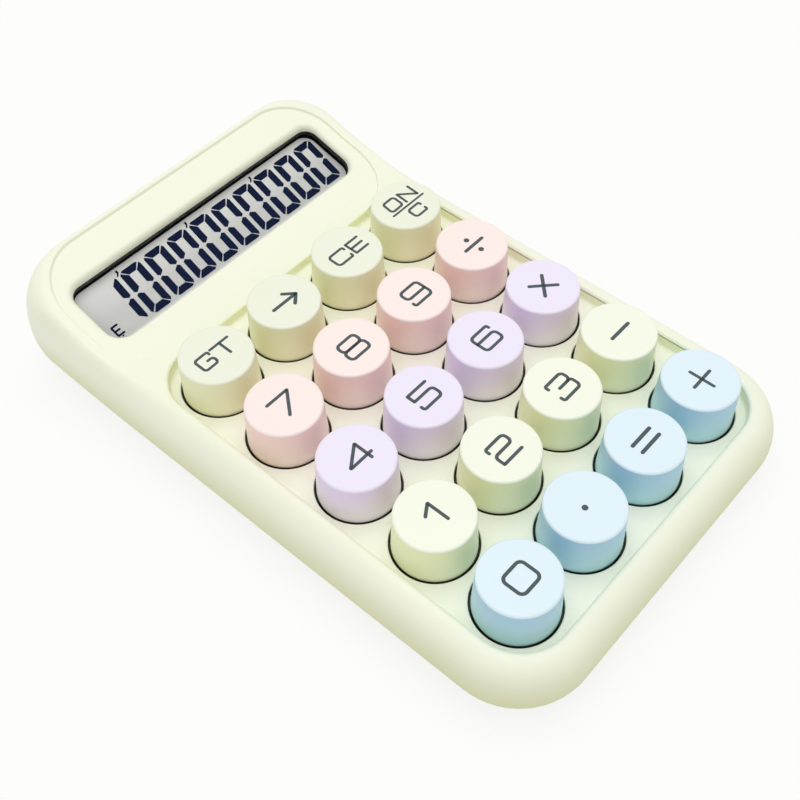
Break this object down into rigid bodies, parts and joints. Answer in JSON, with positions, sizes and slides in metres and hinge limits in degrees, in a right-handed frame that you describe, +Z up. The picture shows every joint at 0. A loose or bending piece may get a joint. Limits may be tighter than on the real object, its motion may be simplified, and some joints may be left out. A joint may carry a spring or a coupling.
{
  "type": "desktop calculator",
  "caption": "Pastel desktop calculator with round tapered keys in a sunk deck, a raised sloping liquid-crystal display, rubber feet and a sliding battery door.",
  "frame": {"origin": "on the table, below the middle of the box of the whole calculator", "axes": "+X to the right of the user, +Y away from the user towards the display, +Z up"},
  "size_m": [0.0896, 0.1422, 0.0282],
  "materials": {
    "housing": "fine satin moulded cream",
    "key_green_cream": "satin moulded green-cream",
    "key_pink": "satin moulded pale pink",
    "key_lavender": "satin moulded lavender",
    "key_yellow": "satin moulded pale yellow",
    "key_blue": "satin moulded pale blue",
    "keypad_rubber": "matt silicone",
    "board": "green solder mask",
    "chip_resin": "black potting resin",
    "cable_film": "amber film",
    "bezel": "matt black",
    "window": "clear polished",
    "display": "grey liquid-crystal face",
    "cell_jacket": "shrink film, unprinted",
    "contact_metal": "nickel plate",
    "screw_steel": "zinc plate",
    "foot_rubber": "matt off-white"
  },
  "bodies": {
    "case": {"display_bezel": "bezel", "display_window": "window", "display_panel": "display", "upper_housing": "housing", "lower_housing": "housing", "rubber_keypad": "keypad_rubber", "circuit_board": "board", "controller_chip": "chip_resin", "display_cable": "cable_film", "board_screw_1": "screw_steel", "board_screw_2": "screw_steel", "board_screw_3": "screw_steel", "board_screw_4": "screw_steel", "board_screw_5": "screw_steel", "board_screw_6": "screw_steel", "case_screw_1": "screw_steel", "case_screw_2": "screw_steel", "case_screw_3": "screw_steel", "case_screw_4": "screw_steel", "battery_cell": "cell_jacket", "battery_spring": "contact_metal", "spring_contact": "contact_metal", "plate_contact": "contact_metal", "rubber_foot_1": "foot_rubber", "rubber_foot_2": "foot_rubber", "rubber_foot_3": "foot_rubber", "rubber_foot_4": "foot_rubber"},
    "key_gt_cap": {"key_gt": "key_green_cream"},
    "key_backspace_cap": {"key_backspace": "key_green_cream"},
    "key_ce_cap": {"key_ce": "key_green_cream"},
    "key_on_c_cap": {"key_on_c": "key_green_cream"},
    "key_7_cap": {"key_7": "key_pink"},
    "key_8_cap": {"key_8": "key_pink"},
    "key_9_cap": {"key_9": "key_pink"},
    "key_divide_cap": {"key_divide": "key_pink"},
    "key_4_cap": {"key_4": "key_lavender"},
    "key_5_cap": {"key_5": "key_lavender"},
    "key_6_cap": {"key_6": "key_lavender"},
    "key_multiply_cap": {"key_multiply": "key_lavender"},
    "key_1_cap": {"key_1": "key_yellow"},
    "key_2_cap": {"key_2": "key_yellow"},
    "key_3_cap": {"key_3": "key_yellow"},
    "key_minus_cap": {"key_minus": "key_yellow"},
    "key_0_cap": {"key_0": "key_blue"},
    "key_point_cap": {"key_point": "key_blue"},
    "key_equals_cap": {"key_equals": "key_blue"},
    "key_plus_cap": {"key_plus": "key_blue"},
    "door": {"battery_door": "housing"}
  },
  "joints": [
    {"name": "key_gt_press", "type": "slide", "parent": "case", "child": "key_gt_cap", "axis": [0, 0.0349, -0.9994], "range_m": [0, 0.002], "stiffness_N_per_m": 250, "springref_m": -0.001, "deforming": ["rubber_keypad"]},
    {"name": "key_backspace_press", "type": "slide", "parent": "case", "child": "key_backspace_cap", "axis": [0, 0.0349, -0.9994], "range_m": [0, 0.002], "stiffness_N_per_m": 250, "springref_m": -0.001, "deforming": ["rubber_keypad"]},
    {"name": "key_ce_press", "type": "slide", "parent": "case", "child": "key_ce_cap", "axis": [0, 0.0349, -0.9994], "range_m": [0, 0.002], "stiffness_N_per_m": 250, "springref_m": -0.001, "deforming": ["rubber_keypad"]},
    {"name": "key_on_c_press", "type": "slide", "parent": "case", "child": "key_on_c_cap", "axis": [0, 0.0349, -0.9994], "range_m": [0, 0.002], "stiffness_N_per_m": 250, "springref_m": -0.001, "deforming": ["rubber_keypad"]},
    {"name": "key_7_press", "type": "slide", "parent": "case", "child": "key_7_cap", "axis": [0, 0.0349, -0.9994], "range_m": [0, 0.002], "stiffness_N_per_m": 250, "springref_m": -0.001, "deforming": ["rubber_keypad"]},
    {"name": "key_8_press", "type": "slide", "parent": "case", "child": "key_8_cap", "axis": [0, 0.0349, -0.9994], "range_m": [0, 0.002], "stiffness_N_per_m": 250, "springref_m": -0.001, "deforming": ["rubber_keypad"]},
    {"name": "key_9_press", "type": "slide", "parent": "case", "child": "key_9_cap", "axis": [0, 0.0349, -0.9994], "range_m": [0, 0.002], "stiffness_N_per_m": 250, "springref_m": -0.001, "deforming": ["rubber_keypad"]},
    {"name": "key_divide_press", "type": "slide", "parent": "case", "child": "key_divide_cap", "axis": [0, 0.0349, -0.9994], "range_m": [0, 0.002], "stiffness_N_per_m": 250, "springref_m": -0.001, "deforming": ["rubber_keypad"]},
    {"name": "key_4_press", "type": "slide", "parent": "case", "child": "key_4_cap", "axis": [0, 0.0349, -0.9994], "range_m": [0, 0.002], "stiffness_N_per_m": 250, "springref_m": -0.001, "deforming": ["rubber_keypad"]},
    {"name": "key_5_press", "type": "slide", "parent": "case", "child": "key_5_cap", "axis": [0, 0.0349, -0.9994], "range_m": [0, 0.002], "stiffness_N_per_m": 250, "springref_m": -0.001, "deforming": ["rubber_keypad"]},
    {"name": "key_6_press", "type": "slide", "parent": "case", "child": "key_6_cap", "axis": [0, 0.0349, -0.9994], "range_m": [0, 0.002], "stiffness_N_per_m": 250, "springref_m": -0.001, "deforming": ["rubber_keypad"]},
    {"name": "key_multiply_press", "type": "slide", "parent": "case", "child": "key_multiply_cap", "axis": [0, 0.0349, -0.9994], "range_m": [0, 0.002], "stiffness_N_per_m": 250, "springref_m": -0.001, "deforming": ["rubber_keypad"]},
    {"name": "key_1_press", "type": "slide", "parent": "case", "child": "key_1_cap", "axis": [0, 0.0349, -0.9994], "range_m": [0, 0.002], "stiffness_N_per_m": 250, "springref_m": -0.001, "deforming": ["rubber_keypad"]},
    {"name": "key_2_press", "type": "slide", "parent": "case", "child": "key_2_cap", "axis": [0, 0.0349, -0.9994], "range_m": [0, 0.002], "stiffness_N_per_m": 250, "springref_m": -0.001, "deforming": ["rubber_keypad"]},
    {"name": "key_3_press", "type": "slide", "parent": "case", "child": "key_3_cap", "axis": [0, 0.0349, -0.9994], "range_m": [0, 0.002], "stiffness_N_per_m": 250, "springref_m": -0.001, "deforming": ["rubber_keypad"]},
    {"name": "key_minus_press", "type": "slide", "parent": "case", "child": "key_minus_cap", "axis": [0, 0.0349, -0.9994], "range_m": [0, 0.002], "stiffness_N_per_m": 250, "springref_m": -0.001, "deforming": ["rubber_keypad"]},
    {"name": "key_0_press", "type": "slide", "parent": "case", "child": "key_0_cap", "axis": [0, 0.0349, -0.9994], "range_m": [0, 0.002], "stiffness_N_per_m": 250, "springref_m": -0.001, "deforming": ["rubber_keypad"]},
    {"name": "key_point_press", "type": "slide", "parent": "case", "child": "key_point_cap", "axis": [0, 0.0349, -0.9994], "range_m": [0, 0.002], "stiffness_N_per_m": 250, "springref_m": -0.001, "deforming": ["rubber_keypad"]},
    {"name": "key_equals_press", "type": "slide", "parent": "case", "child": "key_equals_cap", "axis": [0, 0.0349, -0.9994], "range_m": [0, 0.002], "stiffness_N_per_m": 250, "springref_m": -0.001, "deforming": ["rubber_keypad"]},
    {"name": "key_plus_press", "type": "slide", "parent": "case", "child": "key_plus_cap", "axis": [0, 0.0349, -0.9994], "range_m": [0, 0.002], "stiffness_N_per_m": 250, "springref_m": -0.001, "deforming": ["rubber_keypad"]},
    {"name": "battery_door_slide", "type": "slide", "parent": "case", "child": "door", "axis": [0, 1, 0], "range_m": [0, 0.018]}
  ]
}
